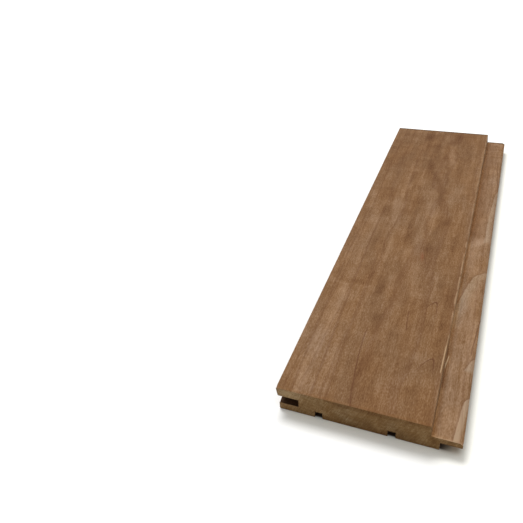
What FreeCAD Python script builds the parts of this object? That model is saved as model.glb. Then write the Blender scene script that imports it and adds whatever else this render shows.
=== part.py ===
"""Tongue and groove board: one planed length of 15 x 90 mm interior cladding, lying face up.

The board lies along Y with its face up (+Z), its groove towards -X and its tongue towards +X.
The origin is under the middle of the board, at the level of its back.

The section is made as a moulder makes it. A squared blank is run past one cutter after another:
the face side and the back side of the tongue, the bevel on the tongue's tip, the groove, the two
edges beside the groove, and the relief kerfs in the back. The sizes of the groove come from the
tongue that enters it and the play round that tongue, so a row of these boards fits together and
shows an open shadow gap between one face and the next.
"""
import FreeCAD, Part
import os

import Sketcher

SHEET_NAME = "Sizes"

# Driving dimensions in millimetres: name, value and what it measures.
DRIVING_DIMENSIONS = [
    ("board_length", 320, "end to end"),
    ("board_thickness", 15, "back to face"),
    ("face_width", 75.5, "width of the face that stays in view"),
    ("shadow_gap", 4, "open gap between two faces in a laid row"),
    ("tongue_entry", 10.5, "how far the tongue goes in under the next board's face"),
    ("tongue_drop", 6.6, "face down to the top of the tongue"),
    ("tongue_thickness", 3.4, "height of the tongue"),
    ("shoulder_lean", 0.6, "how far the shoulder's foot stands out past the face edge"),
    ("tip_bevel_run", 1.6, "width of the bevel on the tongue's tip"),
    ("tip_bevel_drop", 1.0, "height of the bevel on the tongue's tip"),
    ("play_above_tongue", 1.0, "tongue top to the roof of the next board's groove"),
    ("play_below_tongue", 0.3, "tongue underside to the floor of that groove"),
    ("play_at_tip", 1.0, "tongue tip to the back wall of that groove"),
    ("lip_land", 0.8, "upright strip at the top of the upper lip's end"),
    ("lip_undercut", 0.7, "how far the upper lip's end leans back below that strip"),
    ("lower_lip_setback", 1.4, "how far the lower lip ends behind the face edge"),
    ("lower_lip_bevel", 0.5, "bevel on the lower lip's bottom corner"),
    ("heel_gap", 0.8, "gap between one board's heel and the next board's lower lip"),
    ("kerf_width", 3.6, "width of a relief kerf in the back"),
    ("kerf_depth", 4.0, "depth of a relief kerf"),
    ("first_kerf_inset", 22, "face edge to the middle of the first kerf"),
    ("kerf_spacing", 36, "middle to middle of the kerfs"),
    ("arris_radius", 0.5, "eased edge along both sides of the face"),
]

KERF_COUNT = 2


def size(name):
    """The name of a driving dimension as an expression reads it."""
    return f"{SHEET_NAME}.{name}"


# Places across the board, measured from the face edge on the groove side.
FACE_EDGE = size("face_width")
COVER_WIDTH = f"({size('face_width')} + {size('shadow_gap')})"
TONGUE_TIP = f"({COVER_WIDTH} + {size('tongue_entry')})"
SHOULDER_FOOT = f"({FACE_EDGE} + {size('shoulder_lean')})"
LOWER_LIP_END = size("lower_lip_setback")
HEEL = f"({COVER_WIDTH} + {LOWER_LIP_END} - {size('heel_gap')})"
GROOVE_BACK = f"({size('tongue_entry')} + {size('play_at_tip')})"
FIRST_KERF_START = f"({size('first_kerf_inset')} - {size('kerf_width')} / 2)"
FIRST_KERF_END = f"({size('first_kerf_inset')} + {size('kerf_width')} / 2)"

# Heights above the back of the board.
FACE = size("board_thickness")
TONGUE_TOP = f"({FACE} - {size('tongue_drop')})"
TONGUE_UNDERSIDE = f"({TONGUE_TOP} - {size('tongue_thickness')})"
TIP_BEVEL_FOOT = f"({TONGUE_TOP} - {size('tip_bevel_drop')})"
TIP_BEVEL_START = f"({TONGUE_TIP} - {size('tip_bevel_run')})"
GROOVE_ROOF = f"({TONGUE_TOP} + {size('play_above_tongue')})"
GROOVE_FLOOR = f"({TONGUE_UNDERSIDE} - {size('play_below_tongue')})"
UNDERCUT_TOP = f"({FACE} - {size('lip_land')})"
KERF_TOP = size("kerf_depth")


def make_sheet(doc):
    """Write every driving dimension into the sheet as a plain number with an alias."""
    sheet = doc.addObject("Spreadsheet::Sheet", SHEET_NAME)
    for row, (name, value, meaning) in enumerate(DRIVING_DIMENSIONS, start=1):
        sheet.set(f"A{row}", name)
        sheet.set(f"B{row}", str(value))
        sheet.set(f"C{row}", meaning)
        sheet.setAlias(f"B{row}", name)
    doc.recompute()
    return sheet


def origin_feature(body, role):
    """The body's own origin plane or axis with this role."""
    return next(feature for feature in body.Origin.OriginFeatures if feature.Role == role)


def draw_section(body, name, corners):
    """A closed outline across the board, each corner tied to its (across, height) expressions."""
    sketch = body.newObject("Sketcher::SketchObject", name)
    sketch.AttachmentSupport = [(origin_feature(body, "XZ_Plane"), "")]
    sketch.MapMode = "FlatFace"
    drawn = [place_now(body.Document, corner) for corner in corners]
    for start, end in zip(drawn, drawn[1:] + drawn[:1]):
        sketch.addGeometry(Part.LineSegment(start, end), False)
    line_count = len(corners)
    for line in range(line_count):
        sketch.addConstraint(
            Sketcher.Constraint("Coincident", line, 2, (line + 1) % line_count, 1))
    for line, (across, height) in enumerate(corners):
        for direction, expression, value in (
            ("DistanceX", across, drawn[line].x),
            ("DistanceY", height, drawn[line].y),
        ):
            index = sketch.addConstraint(Sketcher.Constraint(direction, -1, 1, line, 1, value))
            sketch.setExpression(f"Constraints[{index}]", expression)
    return sketch


def place_now(doc, corner):
    """Where a corner lies with the sizes that the sheet holds now."""
    sheet = doc.getObject(SHEET_NAME)
    across, height = (sheet.evalExpression(expression) for expression in corner)
    return FreeCAD.Vector(float(across), float(height), 0)


def run_along_board(feature, sketch):
    """Let a feature act over the whole length of the board, half of it each way."""
    feature.Profile = sketch
    feature.SideType = "Symmetric"
    feature.setExpression("Length", size("board_length"))
    sketch.Visibility = False


def plane_blank(body):
    """The squared blank, as wide as the face, the gap and the tongue's entry together."""
    sketch = draw_section(body, "BlankSection", [
        ("0", "0"),
        (TONGUE_TIP, "0"),
        (TONGUE_TIP, FACE),
        ("0", FACE),
    ])
    pad = body.newObject("PartDesign::Pad", "Blank")
    run_along_board(pad, sketch)
    body.Document.recompute()
    return pad


def cut_along_board(body, name, corners):
    """Run one cutter along the board, and make sure that it took wood away."""
    volume_before = body.Shape.Volume
    sketch = draw_section(body, f"{name}Section", corners)
    pocket = body.newObject("PartDesign::Pocket", name)
    run_along_board(pocket, sketch)
    body.Document.recompute()
    if not body.Shape.Volume < volume_before:
        raise RuntimeError(f"{name} cuts nothing")
    return pocket


def cut_tongue(body):
    """Free the tongue from above and below, and bevel its tip."""
    cut_along_board(body, "TongueFaceSide", [
        (FACE_EDGE, FACE),
        (SHOULDER_FOOT, TONGUE_TOP),
        (TONGUE_TIP, TONGUE_TOP),
        (TONGUE_TIP, FACE),
    ])
    cut_along_board(body, "TongueBackSide", [
        (HEEL, "0"),
        (TONGUE_TIP, "0"),
        (TONGUE_TIP, TONGUE_UNDERSIDE),
        (HEEL, TONGUE_UNDERSIDE),
    ])
    cut_along_board(body, "TipBevel", [
        (TIP_BEVEL_START, TONGUE_TOP),
        (TONGUE_TIP, TIP_BEVEL_FOOT),
        (TONGUE_TIP, TONGUE_TOP),
    ])


def cut_groove(body):
    """Open the groove for the next board's tongue, then trim the lips above and below it."""
    cut_along_board(body, "Groove", [
        ("0", GROOVE_FLOOR),
        (GROOVE_BACK, GROOVE_FLOOR),
        (GROOVE_BACK, GROOVE_ROOF),
        ("0", GROOVE_ROOF),
    ])
    cut_along_board(body, "UpperLipUndercut", [
        ("0", UNDERCUT_TOP),
        ("0", GROOVE_ROOF),
        (size("lip_undercut"), GROOVE_ROOF),
    ])
    bevel = size("lower_lip_bevel")
    cut_along_board(body, "LowerLipSetback", [
        ("0", "0"),
        (f"{LOWER_LIP_END} + {bevel}", "0"),
        (LOWER_LIP_END, bevel),
        (LOWER_LIP_END, GROOVE_FLOOR),
        ("0", GROOVE_FLOOR),
    ])


def cut_relief_kerfs(body):
    """Saw the kerfs in the back, which let the board stay flat as the wood moves."""
    first_kerf = cut_along_board(body, "ReliefKerf", [
        (FIRST_KERF_START, "0"),
        (FIRST_KERF_END, "0"),
        (FIRST_KERF_END, KERF_TOP),
        (FIRST_KERF_START, KERF_TOP),
    ])
    volume_before = body.Shape.Volume
    kerfs = body.newObject("PartDesign::LinearPattern", "ReliefKerfs")
    kerfs.Originals = [first_kerf]
    kerfs.Direction = (origin_feature(body, "X_Axis"), [""])
    kerfs.Mode = "Spacing"
    kerfs.Occurrences = KERF_COUNT
    kerfs.setExpression("Offset", size("kerf_spacing"))
    body.Tip = kerfs
    body.Document.recompute()
    if not body.Shape.Volume < volume_before:
        raise RuntimeError("the second kerf cuts nothing")


def ease_face_edges(body):
    """Round the long edges on both sides of the face."""
    sheet = body.Document.getObject(SHEET_NAME)
    sharp_board = body.Tip
    face_edges = [
        f"Edge{number}"
        for number, edge in enumerate(sharp_board.Shape.Edges, start=1)
        if abs(edge.Length - sheet.board_length) < Part.Precision.confusion()
        and all(abs(vertex.Z - sheet.board_thickness) < Part.Precision.confusion()
                for vertex in edge.Vertexes)
    ]
    if len(face_edges) != 2:
        raise RuntimeError(f"the face has {len(face_edges)} long edges, not 2")
    fillet = body.newObject("PartDesign::Fillet", "FaceArrises")
    fillet.Base = (sharp_board, face_edges)
    fillet.setExpression("Radius", size("arris_radius"))
    body.Tip = fillet
    body.Document.recompute()


def make_board(doc):
    """The whole board, one solid, centred over the origin with its back at height 0."""
    body = doc.addObject("PartDesign::Body", "Board")
    body.Label = "board"
    plane_blank(body)
    cut_tongue(body)
    cut_groove(body)
    cut_relief_kerfs(body)
    ease_face_edges(body)
    body.setExpression("Placement.Base.x", f"-{TONGUE_TIP} / 2")
    doc.recompute()
    return body


def check_document(doc, subparts):
    """Stop if any object of the document failed or a sub-part isn't one sound solid."""
    for item in doc.Objects:
        if {"Invalid", "Error"} & set(item.State):
            raise RuntimeError(f"{item.Name} is {item.State}")
    for subpart in subparts:
        shape = subpart.Shape
        if shape.isNull() or not shape.isValid() or len(shape.Solids) != 1:
            raise RuntimeError(f"{subpart.Label} isn't one sound solid")


def main():
    doc = FreeCAD.newDocument("tongue_and_groove_board")
    make_sheet(doc)
    board = make_board(doc)
    check_document(doc, [board])
    os.makedirs("parts", exist_ok=True)
    board.Shape.exportStep(f"parts/{board.Label}.step")
    box = board.Shape.BoundBox
    print(f"{board.Label}: {box.XLength:.2f} x {box.YLength:.2f} x {box.ZLength:.2f} mm,",
          f"volume {board.Shape.Volume:.0f} mm3,",
          f"from ({box.XMin:.2f}, {box.YMin:.2f}, {box.ZMin:.2f})")


main()
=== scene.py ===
"""One planed tongue and groove board, lying face up on a plain pale floor in soft light.

The board's section is read from the frame and swept again as a fine mesh, with eased arrises,
raised grain, small chips along the lower edge of the tongue's tip and sawn ends. Its wood is one
field of growth rings, fibres and figure in the board's own millimetres, so the face, the tongue,
the groove, the kerfs and both ends are cut from the same timber.
"""
import math
import random

import bmesh
import bpy
from mathutils import Matrix, Vector, noise
from mathutils.geometry import delaunay_2d_cdt


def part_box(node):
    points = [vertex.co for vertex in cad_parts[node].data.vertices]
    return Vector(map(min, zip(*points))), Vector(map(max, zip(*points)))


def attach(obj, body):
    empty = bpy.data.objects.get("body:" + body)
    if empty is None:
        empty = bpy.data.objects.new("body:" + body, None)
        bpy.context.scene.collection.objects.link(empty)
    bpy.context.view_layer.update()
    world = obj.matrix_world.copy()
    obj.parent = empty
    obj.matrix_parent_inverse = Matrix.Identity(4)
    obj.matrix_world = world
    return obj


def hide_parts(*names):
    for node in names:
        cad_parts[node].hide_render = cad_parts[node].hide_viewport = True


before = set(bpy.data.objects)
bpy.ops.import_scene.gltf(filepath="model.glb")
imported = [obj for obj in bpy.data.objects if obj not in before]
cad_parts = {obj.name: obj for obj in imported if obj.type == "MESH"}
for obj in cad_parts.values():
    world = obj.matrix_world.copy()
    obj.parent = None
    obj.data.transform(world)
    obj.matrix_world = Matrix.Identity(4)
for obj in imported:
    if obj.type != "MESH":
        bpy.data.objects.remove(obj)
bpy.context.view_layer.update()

MM = 0.001
BOARD = "board"

# The board's mesh, in millimetres
FINE_STEP = 0.5          # across the face and the tongue
COARSE_STEP = 1.4        # across the back, the kerfs and the groove
STATION_STEP = 2.0       # along the board
SHARP_TURN = math.radians(25)
CORNER_RADIUS = 0.22     # easing of every sharp corner of the section
CORNER_SEGMENTS = 3
END_RADIUS = 0.3         # easing round both sawn ends
END_SEGMENTS = 3
END_GRID = 0.7           # spacing of the points across a sawn end
SAW_PITCH = 1.7          # between the saw marks on an end
SAW_DEPTH = 0.05
SAW_SLANT = math.radians(62)
GRAIN_DEPTH = 0.03       # raised grain on the planed sides
SWELL_DEPTH = 0.04       # broad unevenness left by the planer
CHIP_COUNT = 16          # chips along the lower edge of the tongue's tip
CHIP_DEPTH = (0.12, 0.45)
CHIP_LENGTH = (3.0, 14.0)
CHIP_REACH = 1.1         # how far from the arris a chip spreads
TORN_CHIP = (-115.0, 14.0, 1.6, 2.3)     # y, half length, depth and reach of the largest chip

# The camera, solved on the edges of the photograph's board, in millimetres and degrees
FRAME_PIXELS = 523
FOCAL_PIXELS = 569.8
SENSOR_WIDTH = 36.0
CAMERA_PLACE = (35.4, -333.0, 232.7)
CAMERA_PITCH = math.radians(36.22)
CAMERA_YAW = math.radians(-25.13)
CAMERA_ROLL = math.radians(-5.67)

# Light
SKY_AT_HORIZON = 0.26
SKY_OVERHEAD = 0.98
SKY_TO_THE_BACK = 0.20   # how much brighter it is behind the board, and dimmer in front
KEY_TOWARDS = Vector((-0.33, 0.45, 1.0)).normalized()
KEY_DISTANCE = 3.0       # metres
KEY_SIZE = (1.70, 0.95)  # metres, across the board and along it
KEY_POWER = 66.0         # watts
FLOOR_HALF = 12.0        # metres
FLOOR_COLOUR = (0.90, 0.90, 0.885)
PAINTED_BOUNCE_BESIDE_BOARD = (0.90, 0.895, 0.825, 1.0)      # painted warm light off the wood, in the floor's shade beside the board
# painted shade on the floor beneath the board and beneath the tongue, where no light comes
PAINTED_SHADE_UNDER_BOARD = (0.05, 0.03, 0.02, 1.0)
PAINTED_SHADE_UNDER_TONGUE = (0.20, 0.10, 0.0, 1.0)
TONGUE_SHADE = 0.58      # how strong the painted shade on the floor is beneath the tongue
TONGUE_REACH = 11.0      # millimetres of the tongue's side that light gets under

# The wood, in millimetres
PITH = (4.0, 138.0)      # x and z of the pith, high above the face
RING_START = 125.7       # radius at which the paler outer wood begins
RING_WIDTH = 2.35
STEM_TAPER = 0.003
RING_SWELLS = [          # (sizes of the unevenness, its reach, shift of the pattern)
    ((40, 170, 40), 0.9, 3.1),
    ((16, 30, 16), 0.30, 8.3),
]
RING_LINE = 0.22         # how dark the line between two rings is
END_RING_LINE = 0.30
EARLY_WOOD = 0.035       # how much paler a ring begins than it ends
OUTER_WOOD = 0.03        # how much paler the outer rings are
DRIFT = (4.0, 0, 2.0)    # how far the fibres wander over the board's length
WAVER = (0.9, 0, 0.7)    # and over a few centimetres
FIBRE_LAYERS = [         # (sizes, detail, roughness, shift, weight)
    ((0.42, 1.5, 0.42), 1, 0.5, 0.4, 0.62),
    ((0.55, 6.5, 0.55), 2, 0.6, 1.3, 0.40),
    ((1.7, 30, 1.7), 2, 0.5, 6.1, 0.26),
    ((3.8, 150, 3.8), 1, 0.5, 9.3, 0.24),
    ((9, 190, 9), 1, 0.5, 5.2, 0.24),
    ((4.2, 16, 4.2), 2, 0.5, 2.9, 0.26),
    ((20, 8, 20), 2, 0.5, 7.7, 0.26),
    ((32, 70, 32), 2, 0.5, 2.4, 0.10),
]
SPOTS = [                # x, y, half width, half length, lean, change of tone
    (-15, 146, 8.0, 14.0, 0.0, -0.26),
    (9.0, 149, 5.0, 13.0, 0.0, -0.18),
    (-1.0, 146, 5.0, 15.0, 0.0, 0.20),
    (-9, 125, 10.0, 10.0, 0.0, -0.18),
    (-24, 108, 9.0, 24.0, 0.0, -0.08),
    (-38, 100, 22.0, 70.0, 0.0, -0.12),
    (8.0, 106, 5.5, 42.0, -0.11, 0.34),
    (15.5, 48, 6.0, 28.0, 0.0, 0.20),
    (5.5, 16, 4.0, 30.0, -0.03, 0.24),
    (-7.0, 90, 6.5, 20.0, -0.06, -0.32),
    (0.5, 72, 4.5, 15.0, -0.25, -0.22),
    (6.5, 48, 3.0, 24.0, -0.10, -0.20),
    (14.0, 10, 4.2, 12.0, 0.25, -0.24),
    (-17.5, 70, 3.2, 18.0, 0.0, -0.22),
    (-17.5, 45, 3.0, 12.0, 0.0, -0.14),
    (-32, 43, 9.0, 18.0, 0.0, -0.18),
    (-27, 16, 8.0, 12.0, 0.0, -0.22),
    (-7.0, 30, 5.0, 24.0, 0.0, -0.20),
    (-22, 25, 4.0, 32.0, 0.0, 0.12),
    (-6.0, -9, 5.5, 26.0, 0.0, -0.28),
    (-6.5, -45, 4.0, 20.0, 0.0, -0.14),
    (7.5, -23, 5.5, 17.0, -0.1, -0.18),
    (-15, -25, 3.5, 40.0, 0.0, 0.13),
    (-26, -22, 6.0, 16.0, 0.0, -0.24),
    (-21, -56, 4.0, 18.0, 0.0, -0.16),
    (4.0, -50, 6.5, 24.0, 0.0, 0.19),
    (23, -15, 5.5, 26.0, 0.0, -0.17),
    (21, -60, 4.0, 14.0, 0.0, -0.12),
    (26, -68, 8.0, 9.0, 0.0, -0.12),
    (13, -80, 4.0, 12.0, 0.9, -0.13),
    (-12.5, -70, 4.2, 12.0, 0.0, -0.24),
    (-29, -67, 13.0, 5.0, 0.0, -0.22),
    (-31, -78, 12.0, 5.5, 0.0, 0.15),
    (-26, -89, 8.0, 7.0, 0.0, -0.15),
    (8.6, -99.4, 1.3, 0.8, 0.0, -0.34),
    (0.0, -86, 5.0, 20.0, 0.0, 0.18),
    (-8.5, -98, 6.5, 20.0, 0.0, -0.24),
    (-9.0, -137, 7.0, 24.0, 0.0, -0.18),
    (13, -128, 4.0, 10.0, 0.9, -0.13),
    (-36, -125, 6.0, 55.0, 0.0, 0.12),
    (-38, -45, 4.0, 30.0, 0.0, 0.10),
    (3.0, -143, 4.5, 20.0, -0.1, 0.18),
    (17, -142, 11.0, 4.0, 0.0, -0.14),
    (38, 3, 6.0, 10.0, 0.5, 0.27),
    (33, -8, 3.2, 22.0, 0.0, 0.20),
    (42.5, -95, 4.5, 22.0, 0.0, 0.20),
    (35.5, -129, 1.0, 3.0, 0.0, 0.30),
    (41.4, -58, 1.9, 2.6, 0.0, -0.32),
    (38.2, -94, 1.6, 2.2, 0.0, -0.32),
    (34, 108, 4.0, 20.0, 0.0, -0.12),
    # darker over the far half: painted shade for the light's fall-off towards the far end
    (0, 150, 60, 150, 0.0, -0.10),
]
END_SPOTS = [            # x, z, half width, half height, slope, change of tone, on the front end
    (-38, 12, 12.0, 13.0, 0.0, 0.29),
    (-24, 8, 7.0, 12.0, 0.0, 0.05),
    (-3, 14.2, 26.0, 2.6, -0.03, -0.16),
    (8, 12.5, 8.0, 3.0, -0.1, -0.06),
    (25, 13.8, 9.0, 1.8, 0.0, -0.14),
    (-13, 9.0, 8.0, 4.5, 0.0, 0.10),
    (-20, 5, 5.0, 3.5, 0.0, 0.14),
    (18, 9.5, 12.0, 3.5, 0.05, 0.05),
    (-4, 6.8, 9.0, 2.6, -0.05, -0.08),
    (3, 4.8, 5.0, 3.4, 0.0, -0.14),
    (5, 1.6, 45.0, 3.4, 0.0, -0.14),
    (42, 7, 8.5, 12.0, 0.0, -0.12),
    (32.5, 6.5, 4.0, 4.5, 0.0, -0.22),
]
PALE_BANDS = [           # top y, end y, left x at the top, lean, flare, fade, width, softness,
    # change of tone, darkness of the left edge
    (-28, -84, 38.0, 0.19, 8.0, 4.1, 5.2, 3.2, 0.19, 0.34),
    (-104, -115, 44.6, 0.42, 0.0, 4.0, 9.0, 1.0, 0.18, 0.42),
    (-132, -175, 42.6, 0.085, 2.7, 2.0, 2.6, 0.9, 0.40, 0.34),
    (78, 4, 42.6, 0.035, 3.0, 9.0, 3.0, 2.4, 0.24, 0.12),
]
LINES = [                # x, y of the top, slope, bend, length, half width, darkness
    (-12.0, -109, 0.0, 0.0018, 60, 0.55, 0.66),
    (4.4, -21, 0.26, 0.0, 17, 0.50, 0.60),
    (7.0, -86, 0.07, 0.0, 14, 0.45, 0.62),
    (44.6, -74, -0.075, 0.0, 27, 0.45, 0.60),
    (41.8, 118, 0.04, 0.0008, 40, 0.45, 0.50),
    (-40.0, 5, 0.0, 0.0001, 160, 0.9, 0.26),
    (-29.6, -8, 0.0, 0.0001, 150, 0.9, 0.32),
    (-21.5, -40, 0.0, 0.0001, 120, 0.9, 0.24),
    (30.85, -97, 0.025, 0.0, 31, 0.6, 0.65),
]
SLIVERS = [              # pale split fibres near the shoulder, over the stretch of the largest chip: as in LINES, then the lowest and highest z
    (30.15, -99, -0.024, 0.0, 15, 0.38, 0.22, 12.5, 16.0),
    (29.92, -107, -0.020, 0.0, 18, 0.42, 0.44, 12.5, 16.0),
    (31.95, -107.5, -0.125, 0.0, 9.0, 0.42, 0.95, 7.0, 9.2),
]
PEAKS = [                # tip x, tip y, half width, length, lean, darkness
    (20.0, -73.5, 4.6, 13.0, -0.25, 0.95),
    (24.5, -118, 4.4, 12.0, -0.25, 0.95),
]
RED_FLECK = (5.6, -31.5, 1.9, 7.5, -0.15, 0.70)
ARRIS_HIGHLIGHT_WIDTH = 1.0        # width of the painted highlight along the shoulder's arris
CUTS_WITH_PAINTED_SHADE = [           # left, right, foot and top of the kerfs and the groove, whose walls get painted shade
    (-25.0, -21.0, -1.0, 4.3),
    (11.0, 15.0, -1.0, 4.3),
    (-44.0, -33.0, 4.4, 9.6),
]
# painted shade: the walls of the kerfs and the groove darkened to about a third
PAINTED_CUT_SHADE_TINT = (0.30, 0.26, 0.24, 1.0)
TONGUE_END_ARRIS = 0.30  # how much paler the tongue's front edge is
CHATTER = 0.45           # how strong the planer's cross marks are on the tongue's far end
TONGUE_WOOD = 0.12       # how much paler the tongue is than the face
CORNER_PAINTED_LIGHT = 0.07    # how much paler the tongue's inner corner is made: painted light against the shade there


def srgb(red, green, blue):
    """A colour given as 0 to 255 on screen, as the linear colour that a node wants."""
    def linear(value):
        value /= 255
        return value / 12.92 if value <= 0.04045 else ((value + 0.055) / 1.055) ** 2.4
    return (linear(red), linear(green), linear(blue), 1.0)


WOOD_TONES = [
    (0.0, srgb(72, 35, 3)),
    (0.5, srgb(116, 83, 51)),
    (1.0, srgb(157, 127, 99)),
]
OLIVE_TINT = (0.975, 1.0, 1.06, 1.0)
PALE_TINT = (0.95, 1.02, 1.08, 1.0)
RUSSET_TINT = (1.025, 1.0, 0.94, 1.0)
LINE_COLOUR = srgb(88, 52, 28)
FLECK_COLOUR = srgb(118, 68, 40)
# painted highlight along the shoulder's arris
ARRIS_HIGHLIGHT_COLOUR = srgb(160, 130, 100)
SPLIT_COLOUR = srgb(205, 176, 138)
END_TINT = (1.03, 1.135, 1.02, 1.0)
# painted light in the tongue's inner corner, against the shade of the shoulder
CORNER_PAINTED_LIGHT_TINT = (1.66, 1.52, 1.20, 1.0)
# painted shade, darker and warmer, over the far half of the tongue
FAR_TONGUE_PAINTED_SHADE_TINT = (0.77, 0.67, 0.55, 1.0)
# painted light on the shoulder wall, against its shade
SHOULDER_PAINTED_LIGHT_TINT = (1.80, 2.00, 2.30, 1.0)


# The section, read from the frame

def front_end_loop(node):
    """The corners round the front end of a CAD node, in order, as (x, z) in millimetres."""
    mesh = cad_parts[node].data
    front = min(vertex.co.y for vertex in mesh.vertices)
    def key(index):
        place = mesh.vertices[index].co
        return (round(place.x / MM, 4), round(place.z / MM, 4))
    seen = {}
    for polygon in mesh.polygons:
        if all(abs(mesh.vertices[i].co.y - front) < 1e-7 for i in polygon.vertices):
            ring = [key(i) for i in polygon.vertices]
            for start, end in zip(ring, ring[1:] + ring[:1]):
                if (end, start) in seen:
                    del seen[(end, start)]
                else:
                    seen[(start, end)] = True
    follows = dict(seen)
    step = {start: end for start, end in follows}
    loop = [min(step)]
    while step[loop[-1]] != loop[0]:
        loop.append(step[loop[-1]])
    corners = [Vector(place) for place in loop]
    return corners if signed_area(corners) > 0 else corners[::-1]


def signed_area(points):
    pairs = zip(points, points[1:] + points[:1])
    return sum(a.x * b.y - b.x * a.y for a, b in pairs) / 2


def eased_corner(before, corner, after):
    """The points of the short arc that replaces a sharp corner, or the corner itself."""
    into = (corner - before).normalized()
    out = (after - corner).normalized()
    turn = math.atan2(into.x * out.y - into.y * out.x, into.dot(out))
    if abs(turn) < SHARP_TURN:
        return [corner]
    reach = CORNER_RADIUS * math.tan(abs(turn) / 2)
    reach = min(reach, 0.4 * (corner - before).length, 0.4 * (after - corner).length)
    radius = reach / math.tan(abs(turn) / 2)
    side = math.copysign(1, turn)
    centre = corner - into * reach + Vector((-into.y, into.x)) * radius * side
    start = corner - into * reach - centre
    points = []
    for step in range(CORNER_SEGMENTS + 1):
        angle = turn * step / CORNER_SEGMENTS
        points.append(centre + Matrix.Rotation(angle, 2) @ start)
    return points


def outline_points(corners, tongue_level):
    """The whole outline as closely spaced points, finest where the board is looked at."""
    arcs = [
        eased_corner(corners[i - 1], corner, corners[(i + 1) % len(corners)])
        for i, corner in enumerate(corners)
    ]
    points = []
    for arc, following in zip(arcs, arcs[1:] + arcs[:1]):
        points.extend(arc)
        run = following[0] - arc[-1]
        faces_up = run.x < 0 and arc[-1].y > tongue_level
        step = FINE_STEP if faces_up else COARSE_STEP
        count = max(1, round(run.length / step))
        points.extend(arc[-1] + run * i / count for i in range(1, count))
    return points


def outward_normals(points):
    """The direction out of the wood at each point of a counter-clockwise outline."""
    normals = []
    for i, point in enumerate(points):
        along = (points[(i + 1) % len(points)] - point).normalized()
        along += (point - points[i - 1]).normalized()
        normals.append(Vector((along.y, -along.x)).normalized())
    return normals


# The board's surface

def end_profile():
    """(distance in from the end, inset of the outline) of the stations that ease an end."""
    stations = []
    for step in range(END_SEGMENTS + 1):
        angle = math.pi / 2 * step / END_SEGMENTS
        stations.append((END_RADIUS * (1 - math.sin(angle)), END_RADIUS * (1 - math.cos(angle))))
    return stations[::-1]


def stations_along(front, back):
    """(y, inset) of every cross-section, from the front end to the back end."""
    eased = end_profile()
    first = [(front + depth, inset) for depth, inset in eased]
    last = [(back - depth, inset) for depth, inset in reversed(eased)]
    start, stop = front + END_RADIUS, back - END_RADIUS
    count = round((stop - start) / STATION_STEP)
    middle = [(start + (stop - start) * i / count, 0.0) for i in range(1, count)]
    return first[::-1] + middle + last[::-1]


def shoulder_chips(rng, front, back):
    """(y, half length, depth, reach) of the chips along the lower edge of the tongue's tip."""
    chips = [TORN_CHIP]
    for _ in range(CHIP_COUNT):
        y, length, depth = rng.uniform(front, back), rng.uniform(*CHIP_LENGTH), rng.uniform(*CHIP_DEPTH)
        chips.append((y, length / 2, depth, CHIP_REACH))
    return chips


def chip_depth(chips, arris, x, y, z):
    """How much wood is missing near the arris at this place."""
    distance = math.hypot(x - arris.x, z - arris.y)
    missing = 0.0
    for middle, half, depth, reach in chips:
        along = abs(y - middle) / half
        if along < 1 and distance < reach:
            missing = max(missing, depth * (1 - along * along) * (1 - distance / reach) ** 2)
    return missing


def relief(x, y, z):
    """How far the planed surface lies below the full section, in millimetres."""
    grain = noise.noise(Vector((x / 1.4, y / 55, z / 1.4)))
    swell = noise.noise(Vector((x / 17, y / 48, z / 17 + 9)))
    return GRAIN_DEPTH * (0.5 + 0.5 * grain) + SWELL_DEPTH * (0.5 + 0.5 * swell)


def saw_relief(x, z):
    """How far the sawn end lies in from its plane, in millimetres."""
    across = x * math.cos(SAW_SLANT) + z * math.sin(SAW_SLANT)
    marks = 0.5 + 0.5 * math.sin(math.tau * across / SAW_PITCH + 2 * noise.noise(Vector((x / 9, z / 9, 3))))
    rough = noise.noise(Vector((x / 0.9, z / 0.9, 7)))
    return SAW_DEPTH * (marks + 0.6 * (0.5 + 0.5 * rough))


def sweep_board(corners, front, back, tongue_level):
    """Vertices and faces of the board: the outline along the length, and a grid over each end."""
    outline = outline_points(corners, tongue_level)
    normals = outward_normals(outline)
    arris = max(corners, key=lambda c: c.x if c.y > tongue_level + 1 else -1e9)
    chips = shoulder_chips(random.Random(11), front, back)
    stations = stations_along(front, back)
    vertices = []
    for y, inset in stations:
        for point, normal in zip(outline, normals):
            below = relief(point.x, y, point.y) + chip_depth(chips, arris, point.x, y, point.y)
            place = point - normal * (inset + below)
            vertices.append(Vector((place.x, y, place.y)))
    count = len(outline)
    faces = []
    for row in range(len(stations) - 1):
        for i in range(count):
            j = (i + 1) % count
            faces.append((row * count + i, row * count + j, (row + 1) * count + j, (row + 1) * count + i))
    close_end(vertices, faces, list(range(count)), front, 1)
    last = (len(stations) - 1) * count
    close_end(vertices, faces, list(range(last, last + count)), back, -1)
    return vertices, faces


def close_end(vertices, faces, rim, end, inward):
    """Cover one end with a grid of triangles whose inner points carry the saw's marks."""
    border = [Vector((vertices[i].x, vertices[i].z)) for i in rim]
    lows = [min(p[k] for p in border) for k in (0, 1)]
    highs = [max(p[k] for p in border) for k in (0, 1)]
    inner = []
    columns = int((highs[0] - lows[0]) / END_GRID)
    rows = int((highs[1] - lows[1]) / END_GRID)
    for column in range(1, columns):
        for row in range(1, rows):
            shift = 0.5 * (row % 2)
            place = Vector((lows[0] + (column + shift) * END_GRID, lows[1] + row * END_GRID))
            if inside(place, border) and clear_of(place, border, 0.5 * END_GRID):
                inner.append(place)
    loop = list(range(len(border)))
    made = delaunay_2d_cdt(border + inner, [], [loop], 1, 1e-5)
    places, _, triangles, origins = made[0], made[1], made[2], made[3]
    index = {}
    for i, place in enumerate(places):
        origin = origins[i][0] if origins[i] else None
        if origin is not None and origin < len(rim):
            index[i] = rim[origin]
        else:
            index[i] = len(vertices)
            depth = saw_relief(place.x, place.y)
            vertices.append(Vector((place.x, end + inward * depth, place.y)))
    faces.extend(tuple(index[i] for i in triangle) for triangle in triangles)


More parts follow.
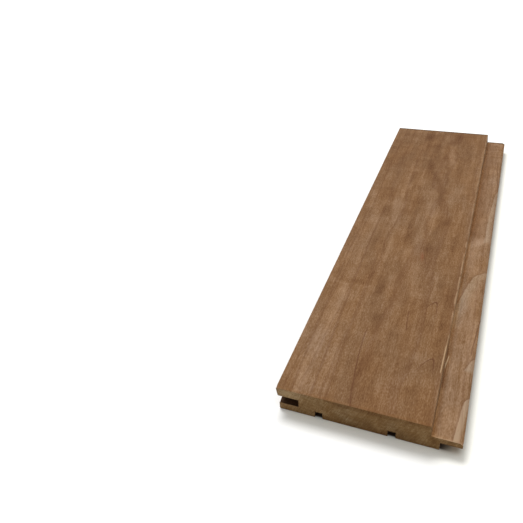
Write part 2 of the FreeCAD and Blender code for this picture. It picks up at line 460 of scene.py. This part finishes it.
def inside(place, border):
    """True where a point lies within the outline."""
    crossings = False
    for a, b in zip(border, border[1:] + border[:1]):
        if (a.y > place.y) != (b.y > place.y):
            if place.x < a.x + (place.y - a.y) / (b.y - a.y) * (b.x - a.x):
                crossings = not crossings
    return crossings


def clear_of(place, border, gap):
    """True where a point is at least the gap away from every border point."""
    return all((place - point).length_squared > gap * gap for point in border)


def make_board():
    low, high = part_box(BOARD)
    corners = front_end_loop(BOARD)
    widest = max(corners, key=lambda c: c.x)
    vertices, faces = sweep_board(corners, low.y / MM, high.y / MM, widest.y - 2.6)
    mesh = bpy.data.meshes.new("tongue_and_groove_board")
    mesh.from_pydata([v * MM for v in vertices], [], faces)
    mesh.validate()
    mesh.shade_smooth()
    piece = bpy.data.objects.new("planed_board", mesh)
    bpy.context.scene.collection.objects.link(piece)
    tidy_normals(mesh)
    return piece


def tidy_normals(mesh):
    """Turn every face outwards."""
    work = bmesh.new()
    work.from_mesh(mesh)
    bmesh.ops.recalc_face_normals(work, faces=work.faces)
    work.to_mesh(mesh)
    work.free()


# Materials

class Graph:
    """Short ways to add nodes to a tree and join them."""

    def __init__(self, tree):
        self.tree = tree

    def feed(self, socket, value):
        if isinstance(value, bpy.types.NodeSocket):
            self.tree.links.new(value, socket)
        else:
            socket.default_value = value

    def node(self, kind, inputs, **settings):
        made = self.tree.nodes.new(kind)
        for name, value in settings.items():
            setattr(made, name, value)
        for name, value in inputs.items():
            self.feed(made.inputs[name], value)
        return made

    def math(self, operation, first, second=0.0, third=0.0):
        inputs = {0: first, 1: second, 2: third}
        return self.node("ShaderNodeMath", inputs, operation=operation).outputs[0]

    def add(self, first, second):
        return self.math("ADD", first, second)

    def subtract(self, first, second):
        return self.math("SUBTRACT", first, second)

    def multiply(self, first, second):
        return self.math("MULTIPLY", first, second)

    def divide(self, first, second):
        return self.math("DIVIDE", first, second)

    def weighted(self, value, weight, base):
        """base + value * weight"""
        return self.math("MULTIPLY_ADD", value, weight, base)

    def vector(self, operation, first, second=(0, 0, 0)):
        made = self.node("ShaderNodeVectorMath", {0: first, 1: second}, operation=operation)
        return made.outputs["Value" if operation == "LENGTH" else "Vector"]

    def parts(self, place):
        return self.node("ShaderNodeSeparateXYZ", {0: place}).outputs[:]

    def joined(self, x, y, z):
        return self.node("ShaderNodeCombineXYZ", {0: x, 1: y, 2: z}).outputs[0]

    def noise(self, place, sizes, detail=2.0, roughness=0.5, shift=0.0, output="Fac"):
        """A noise whose unevenness has the given sizes along x, y and z."""
        moved = self.vector("MULTIPLY", place, tuple(1 / s for s in sizes))
        moved = self.vector("ADD", moved, (shift, 1.7 * shift, -0.6 * shift))
        inputs = {"Vector": moved, "Scale": 1.0, "Detail": detail, "Roughness": roughness}
        return self.node("ShaderNodeTexNoise", inputs).outputs[output]

    def wander(self, place, sizes, reach, shift=0.0):
        """The place, moved by up to about half the reach."""
        drift = self.noise(place, sizes, shift=shift, output="Color")
        drift = self.vector("SUBTRACT", drift, (0.5, 0.5, 0.5))
        return self.vector("ADD", place, self.vector("MULTIPLY", drift, reach))

    def smooth(self, value, low, high, to_low=0.0, to_high=1.0):
        """A smooth step: to_low up to low, to_high from high on. low may be the greater."""
        inputs = {"Value": value, "From Min": low, "From Max": high, "To Min": to_low, "To Max": to_high}
        kind = "SMOOTHSTEP"
        return self.node("ShaderNodeMapRange", inputs, interpolation_type=kind).outputs[0]

    def between(self, value, low, high, soft):
        """1 from low to high, falling to 0 over a soft distance outside them."""
        return self.multiply(self.smooth(value, low - soft, low), self.smooth(value, high + soft, high))

    def ramp(self, value, stops):
        made = self.node("ShaderNodeValToRGB", {0: value})
        elements = made.color_ramp.elements
        while len(elements) < len(stops):
            elements.new(1.0)
        for element, (position, colour) in zip(elements, stops):
            element.position, element.color = position, colour
        return made.outputs["Color"]

    def mix(self, factor, first, second, blend="MIX"):
        made = self.node("ShaderNodeMix", {}, data_type="RGBA", blend_type=blend)
        self.feed(made.inputs[0], factor)
        self.feed(made.inputs[6], first)
        self.feed(made.inputs[7], second)
        return made.outputs[2]


def new_material(name):
    """(material, its graph, its shader)"""
    material = bpy.data.materials.new(name)
    material.use_nodes = True
    return material, Graph(material.node_tree), material.node_tree.nodes["Principled BSDF"]


def growth_rings(g, fibres):
    """(line, early, outer): the line that ends a ring, the paler start of a ring, the outer wood."""
    x, y, z = g.parts(fibres)
    from_pith = g.joined(g.subtract(x, PITH[0]), 0.0, g.subtract(z, PITH[1]))
    radius = g.weighted(y, STEM_TAPER, g.vector("LENGTH", from_pith))
    for sizes, reach, shift in RING_SWELLS:
        swell = g.noise(fibres, sizes, shift=shift)
        radius = g.weighted(g.subtract(swell, 0.5), 2 * reach, radius)
    ring = g.divide(g.subtract(radius, RING_START), RING_WIDTH)
    phase = g.math("FRACT", ring)
    line = g.multiply(g.smooth(phase, 0.80, 0.97), g.smooth(phase, 1.0, 0.985))
    early = g.multiply(g.smooth(phase, 0.0, 0.02), g.smooth(phase, 0.7, 0.05))
    return line, early, g.smooth(ring, -0.7, 0.5)


def soft_spot(g, place, spot):
    """1 in the middle of an oval mark and 0 outside it."""
    x, y, half_across, half_along, lean = spot[:5]
    away = g.vector("SUBTRACT", place, (x, y, 12))
    if lean:
        across, along, down = g.parts(away)
        away = g.joined(g.weighted(along, -lean, across), along, down)
    away = g.vector("DIVIDE", away, (half_across, half_along, 12))
    return g.smooth(g.vector("LENGTH", away), 1.0, 0.0)


def end_spot(g, x, z, spot):
    """1 in the middle of an oval mark on a sawn end and 0 outside it."""
    middle_x, middle_z, half_wide, half_high, slope = spot[:5]
    across = g.subtract(x, middle_x)
    up = g.weighted(across, -slope, g.subtract(z, middle_z))
    away = g.joined(g.divide(across, half_wide), g.divide(up, half_high), 0.0)
    return g.smooth(g.vector("LENGTH", away), 1.0, 0.0)


def drawn_line(g, x, y, line):
    """1 on a thin line that starts at its top and runs towards the near end."""
    left, top, slope, bend, length, half = line[:6]
    down = g.subtract(top, y)
    middle = g.weighted(g.weighted(down, bend, slope), down, left)
    off = g.math("ABSOLUTE", g.subtract(x, middle))
    along = g.between(down, 0.0, length, 0.12 * length)
    return g.multiply(g.smooth(off, half, 0.25 * half), along)


def peaked_line(g, x, y, peak):
    """1 on the thin line of a pointed growth mark whose tip points to the far end."""
    tip_x, tip_y, half, length, lean = peak[:5]
    down = g.subtract(tip_y, y)
    off = g.weighted(down, -lean, g.subtract(x, tip_x))
    opened = g.math("POWER", g.math("ABSOLUTE", g.divide(off, half)), 1.6)
    depth = g.subtract(g.divide(down, length), opened)
    line = g.multiply(g.smooth(depth, -0.10, -0.01), g.smooth(depth, 0.06, 0.0))
    return g.multiply(line, g.smooth(down, 1.1 * length, 0.5 * length))


def pale_band(g, x, y, band):
    """(inside, edge) of a pale ring cut at a slant: how far in a place is, and the dark left edge."""
    top, end, left, lean, flare, fade, width, softness = band[:8]
    down = g.subtract(y, top)
    bend = g.math("EXPONENT", g.divide(down, fade))
    edge_x = g.weighted(down, lean, g.weighted(bend, flare, left))
    off = g.subtract(x, edge_x)
    inside = g.multiply(g.smooth(off, -0.2, 0.4), g.smooth(off, width + softness, width - softness))
    edge = g.multiply(g.smooth(off, -1.3, -0.1), g.smooth(off, 0.25, -0.05))
    along = g.multiply(g.smooth(y, end - 1.5, end + 1.0), g.smooth(y, top + 2.5, top - 0.5))
    return g.multiply(inside, along), g.multiply(edge, along)


def marks(g, x, y, z, place, planed):
    """(change of tone, pale wood, darkness of the lines) of the single marks. planed is 0 on an end."""
    change = 0.0
    for spot in SPOTS:
        change = g.weighted(soft_spot(g, place, spot), spot[-1], change)
    on_tongue = g.multiply(g.smooth(z, 10.2, 9.2), g.smooth(x, 30.0, 30.8))
    on_tongue = g.multiply(on_tongue, planed)
    # painted light in the tongue's inner corner, against the shade of the shoulder
    foot = g.multiply(g.between(x, 30.6, 32.0, 1.6), on_tongue)
    change = g.weighted(foot, CORNER_PAINTED_LIGHT, g.weighted(on_tongue, TONGUE_WOOD, change))
    front = g.multiply(g.smooth(y, -158.9, -159.5), on_tongue)
    change = g.weighted(front, TONGUE_END_ARRIS, change)
    front_end = g.multiply(g.smooth(y, -150, -155), g.subtract(1.0, planed))
    for spot in END_SPOTS:
        change = g.weighted(g.multiply(end_spot(g, x, z, spot), front_end), spot[-1], change)
    lines = pale = 0.0
    for band in PALE_BANDS:
        inside, edge = pale_band(g, x, y, band)
        inside = g.multiply(inside, on_tongue)
        pale = g.add(pale, inside)
        change = g.weighted(inside, band[-2], change)
        lines = g.math("MAXIMUM", lines, g.multiply(g.multiply(edge, on_tongue), band[-1]))
    chatter = g.noise(place, (60, 2.8, 60), detail=1, shift=4.7)
    chattered = g.multiply(g.multiply(g.smooth(y, 115, 140), on_tongue), g.subtract(chatter, 0.5))
    change = g.weighted(chattered, CHATTER, change)
    for line in LINES:
        lines = g.math("MAXIMUM", lines, g.multiply(drawn_line(g, x, y, line), line[-1]))
    for peak in PEAKS:
        lines = g.math("MAXIMUM", lines, g.multiply(peaked_line(g, x, y, peak), peak[-1]))
    upper_side = g.math("MAXIMUM", on_tongue, g.smooth(z, 13.6, 14.4))
    return change, pale, g.multiply(lines, g.multiply(upper_side, planed))


def end_streaks(g, place):
    """The fine slanted streaks and the open pores that show where the fibres are cut across."""
    x, _, z = g.parts(place)
    slanted = g.joined(g.weighted(z, -0.45, x), 0.0, g.weighted(x, 0.2, z))
    rays = g.noise(slanted, (0.45, 1, 5.0), detail=2, shift=3.3)
    pores = g.noise(place, (0.35, 1, 0.35), detail=1, shift=5.9)
    return g.weighted(g.subtract(rays, 0.5), 0.56, g.weighted(g.subtract(pores, 0.5), 0.38, 0.0))


def wood_material():
    """Planed, heat-treated diffuse-porous wood: rings, fibres, figure, single marks, end grain."""
    material, g, shader = new_material("planed_wood")
    texture = g.node("ShaderNodeTexCoord", {})
    place = g.vector("MULTIPLY", texture.outputs["Object"], (1 / MM, 1 / MM, 1 / MM))
    facing = g.parts(texture.outputs["Normal"])[1]
    end_grain = g.smooth(g.math("ABSOLUTE", facing), 0.55, 0.9)
    fibres = g.wander(g.wander(place, (55, 170, 55), DRIFT), (14, 26, 14), WAVER, 4.4)
    ring_line, early, outer = growth_rings(g, fibres)
    tone = g.weighted(outer, OUTER_WOOD, g.weighted(early, EARLY_WOOD, 0.5 - 0.4 * OUTER_WOOD))
    for sizes, detail, roughness, shift, weight in FIBRE_LAYERS:
        layer = g.noise(fibres, sizes, detail, roughness, shift)
        tone = g.weighted(g.subtract(layer, 0.5), weight, tone)
    marked = g.wander(place, (5, 12, 5), (1.3, 2.5, 0.5), 1.9)
    x, y, z = g.parts(marked)
    planed = g.subtract(1.0, end_grain)
    change, pale, lines = marks(g, x, y, z, marked, planed)
    grain = g.add(tone, g.multiply(end_streaks(g, place), end_grain))
    tone = g.add(grain, change)
    ring_dark = g.multiply(ring_line, g.weighted(end_grain, END_RING_LINE - RING_LINE, RING_LINE))
    colour = g.ramp(tone, WOOD_TONES)
    tint = g.noise(fibres, (13, 34, 13), 2, 0.6, 6.6)
    colour = g.mix(1.0, colour, g.mix(g.smooth(tint, 0.3, 0.7), OLIVE_TINT, RUSSET_TINT), "MULTIPLY")
    colour = g.mix(pale, colour, g.mix(1.0, colour, PALE_TINT, "MULTIPLY"))
    colour = g.mix(g.math("MAXIMUM", lines, ring_dark), colour, LINE_COLOUR)
    fleck = g.multiply(soft_spot(g, marked, RED_FLECK), RED_FLECK[-1])
    colour = g.mix(fleck, colour, FLECK_COLOUR)
    colour = g.mix(end_grain, colour, g.mix(1.0, colour, END_TINT, "MULTIPLY"))
    below_face = g.multiply(g.smooth(z, 10.2, 9.2), planed)
    colour = tongue_tints(g, x, y, below_face, colour)
    # painted light on the shoulder wall, against its shade
    shoulder = g.multiply(shoulder_wall_light(g, place), planed)
    colour = g.mix(shoulder, colour, g.mix(1.0, colour, SHOULDER_PAINTED_LIGHT_TINT, "MULTIPLY"))
    # painted highlight along the shoulder's arris
    arris_light = g.multiply(arris_highlight(g, x, y, z), planed)
    colour = g.mix(arris_light, colour, ARRIS_HIGHLIGHT_COLOUR)
    colour = g.mix(g.multiply(split_fibres(g, place), planed), colour, SPLIT_COLOUR)
    # painted shade on the walls of the kerfs and the groove
    cut_shade = g.multiply(painted_cut_shade(g, place), planed)
    colour = g.mix(cut_shade, colour, g.mix(1.0, colour, PAINTED_CUT_SHADE_TINT, "MULTIPLY"))
    g.feed(shader.inputs["Base Color"], colour)
    g.feed(shader.inputs["Roughness"], g.smooth(tone, 0.1, 0.9, 0.72, 0.58))
    shader.inputs["Specular IOR Level"].default_value = 0.13
    bump = g.node("ShaderNodeBump", {"Height": grain, "Strength": 0.25, "Distance": 0.00006})
    g.feed(shader.inputs["Normal"], bump.outputs[0])
    return material


def tongue_tints(g, x, y, below_face, colour):
    """The colour, with painted light in the tongue's inner corner against its shade, and painted shade,
    darker and warmer, over the far half of the tongue, most at the shoulder's foot.
    """
    # painted light in the inner corner
    foot = g.multiply(g.smooth(x, 33.8, 30.7), g.multiply(g.smooth(x, 30.0, 30.6), below_face))
    colour = g.mix(foot, colour, g.mix(1.0, colour, CORNER_PAINTED_LIGHT_TINT, "MULTIPLY"))
    # painted shade over the far half, most at the shoulder's foot
    far = g.multiply(g.smooth(y, -4.0, 12.0), g.multiply(g.smooth(x, 30.0, 30.8), g.smooth(x, 42.0, 32.0)))
    far = g.multiply(far, below_face)
    return g.mix(far, colour, g.mix(1.0, colour, FAR_TONGUE_PAINTED_SHADE_TINT, "MULTIPLY"))


def painted_cut_shade(g, place):
    """1 on the walls of the kerfs and the groove, where shade is painted."""
    x, _, z = g.parts(place)
    cut_shade = 0.0
    for left, right, foot, top in CUTS_WITH_PAINTED_SHADE:
        within = g.multiply(g.between(x, left, right, 0.1), g.between(z, foot, top, 0.1))
        cut_shade = g.math("MAXIMUM", cut_shade, within)
    return cut_shade


def arris_highlight(g, x, y, z):
    """A painted highlight along the shoulder's arris, broken up by noise, weakest near the front end."""
    strip = g.multiply(g.between(x, 29.8, 31.0, 0.3), g.smooth(z, 13.4, 14.2))
    breaks = g.noise(g.joined(x, y, z), (4, 7, 4), detail=1, shift=2.2)
    most = g.between(y, -78, -15, 14)
    least = g.smooth(y, -95, -80, 0.12, 0.45)
    arris_light = g.multiply(g.multiply(strip, g.smooth(breaks, 0.38, 0.55)), g.weighted(most, 0.65, least))
    return g.multiply(arris_light, 0.55)


def shoulder_wall_light(g, place):
    """1 on the shoulder that drops from the face to the tongue, less near both ends, where painted light
    lifts the wall's shade.
    """
    x, y, z = g.parts(place)
    wall = g.multiply(g.between(x, 30.2, 31.3, 0.3), g.between(z, 9.1, 14.5, 0.4))
    along = g.multiply(g.smooth(y, -112, -90, 0.2, 1.0), g.smooth(y, 110, 70, 0.5, 1.0))
    return g.multiply(wall, along)


def split_fibres(g, place):
    """The pale split fibres near the shoulder, over the stretch of the largest chip."""
    x, y, z = g.parts(place)
    split = 0.0
    for sliver in SLIVERS:
        strength, lowest, highest = sliver[6:]
        fibre = g.multiply(drawn_line(g, x, y, sliver), g.between(z, lowest, highest, 0.3))
        split = g.math("MAXIMUM", split, g.multiply(fibre, strength))
    return split


def floor_material():
    """Plain and pale, with painted shade where the board lies on it and beneath the tongue, and painted
    warm light off the wood in the shade beside the board.
    """
    material, g, shader = new_material("pale_floor")
    place = g.node("ShaderNodeTexCoord", {}).outputs["Object"]
    x, y, _ = g.parts(g.vector("MULTIPLY", place, (1 / MM, 1 / MM, 1 / MM)))
    low, high = (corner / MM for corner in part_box(BOARD))
    across = g.multiply(g.smooth(x, low.x + 2, low.x + 8), g.smooth(x, high.x - 3, high.x - TONGUE_REACH))
    along = g.between(y, low.y + 1.5, high.y - 1.5, 1.3)
    # painted warm light off the wood on the floor beside the board
    beside = g.multiply(g.between(x, low.x + 12, high.x, 12.0), g.between(y, low.y, high.y, 12.0))
    shade = g.mix(beside, (*FLOOR_COLOUR, 1.0), PAINTED_BOUNCE_BESIDE_BOARD)
    # painted shade on the floor beneath the tongue and beneath the board
    tongue = g.multiply(g.between(x, 37.0, 42.0, 4.5), g.between(y, low.y + 3.0, high.y - 3.0, 5.0))
    shade = g.mix(g.multiply(tongue, TONGUE_SHADE), shade, PAINTED_SHADE_UNDER_TONGUE)
    shade = g.mix(g.multiply(across, along), shade, PAINTED_SHADE_UNDER_BOARD)
    g.feed(shader.inputs["Base Color"], shade)
    shader.inputs["Roughness"].default_value = 0.9
    shader.inputs["Specular IOR Level"].default_value = 0.0
    return material


# Surroundings

def make_floor():
    corners = [(-FLOOR_HALF, -FLOOR_HALF, 0), (FLOOR_HALF, -FLOOR_HALF, 0),
               (FLOOR_HALF, FLOOR_HALF, 0), (-FLOOR_HALF, FLOOR_HALF, 0)]
    mesh = bpy.data.meshes.new("floor")
    mesh.from_pydata(corners, [], [(0, 1, 2, 3)])
    floor = bpy.data.objects.new("floor", mesh)
    bpy.context.scene.collection.objects.link(floor)
    mesh.materials.append(floor_material())


def make_light():
    world = bpy.data.worlds.new("soft_sky")
    world.use_nodes = True
    g = Graph(world.node_tree)
    _, back, up = g.parts(g.node("ShaderNodeTexCoord", {}).outputs["Generated"])
    strength = g.weighted(g.math("MAXIMUM", up, 0.0), SKY_OVERHEAD - SKY_AT_HORIZON, SKY_AT_HORIZON)
    strength = g.weighted(back, SKY_TO_THE_BACK, strength)
    background = world.node_tree.nodes["Background"]
    background.inputs["Color"].default_value = (1.0, 1.0, 1.0, 1.0)
    g.feed(background.inputs["Strength"], strength)
    bpy.context.scene.world = world
    lamp = bpy.data.lights.new("key_light", "AREA")
    lamp.shape = "ELLIPSE"
    lamp.size, lamp.size_y = KEY_SIZE
    lamp.energy = KEY_POWER
    key = bpy.data.objects.new("key_light", lamp)
    key.location = KEY_TOWARDS * KEY_DISTANCE
    key.rotation_euler = KEY_TOWARDS.to_track_quat("Z", "Y").to_euler()
    bpy.context.scene.collection.objects.link(key)


def make_camera():
    ahead = Vector((
        math.sin(CAMERA_YAW) * math.cos(CAMERA_PITCH),
        math.cos(CAMERA_YAW) * math.cos(CAMERA_PITCH),
        -math.sin(CAMERA_PITCH),
    ))
    level = Vector((math.cos(CAMERA_YAW), -math.sin(CAMERA_YAW), 0))
    upright = level.cross(ahead)
    right = level * math.cos(CAMERA_ROLL) + upright * math.sin(CAMERA_ROLL)
    above = upright * math.cos(CAMERA_ROLL) - level * math.sin(CAMERA_ROLL)
    data = bpy.data.cameras.new("camera")
    data.sensor_width = SENSOR_WIDTH
    data.lens = SENSOR_WIDTH * FOCAL_PIXELS / FRAME_PIXELS
    data.clip_start = 0.01
    data.clip_end = 100
    camera = bpy.data.objects.new("camera", data)
    turned = Matrix((right, above, -ahead)).transposed()
    camera.matrix_world = Matrix.Translation(Vector(CAMERA_PLACE) * MM) @ turned.to_4x4()
    bpy.context.scene.collection.objects.link(camera)
    bpy.context.scene.camera = camera


def main():
    piece = make_board()
    piece.data.materials.append(wood_material())
    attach(piece, "root")
    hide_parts(BOARD)
    make_floor()
    make_light()
    make_camera()
    bpy.context.scene.view_settings.view_transform = "Standard"


main()
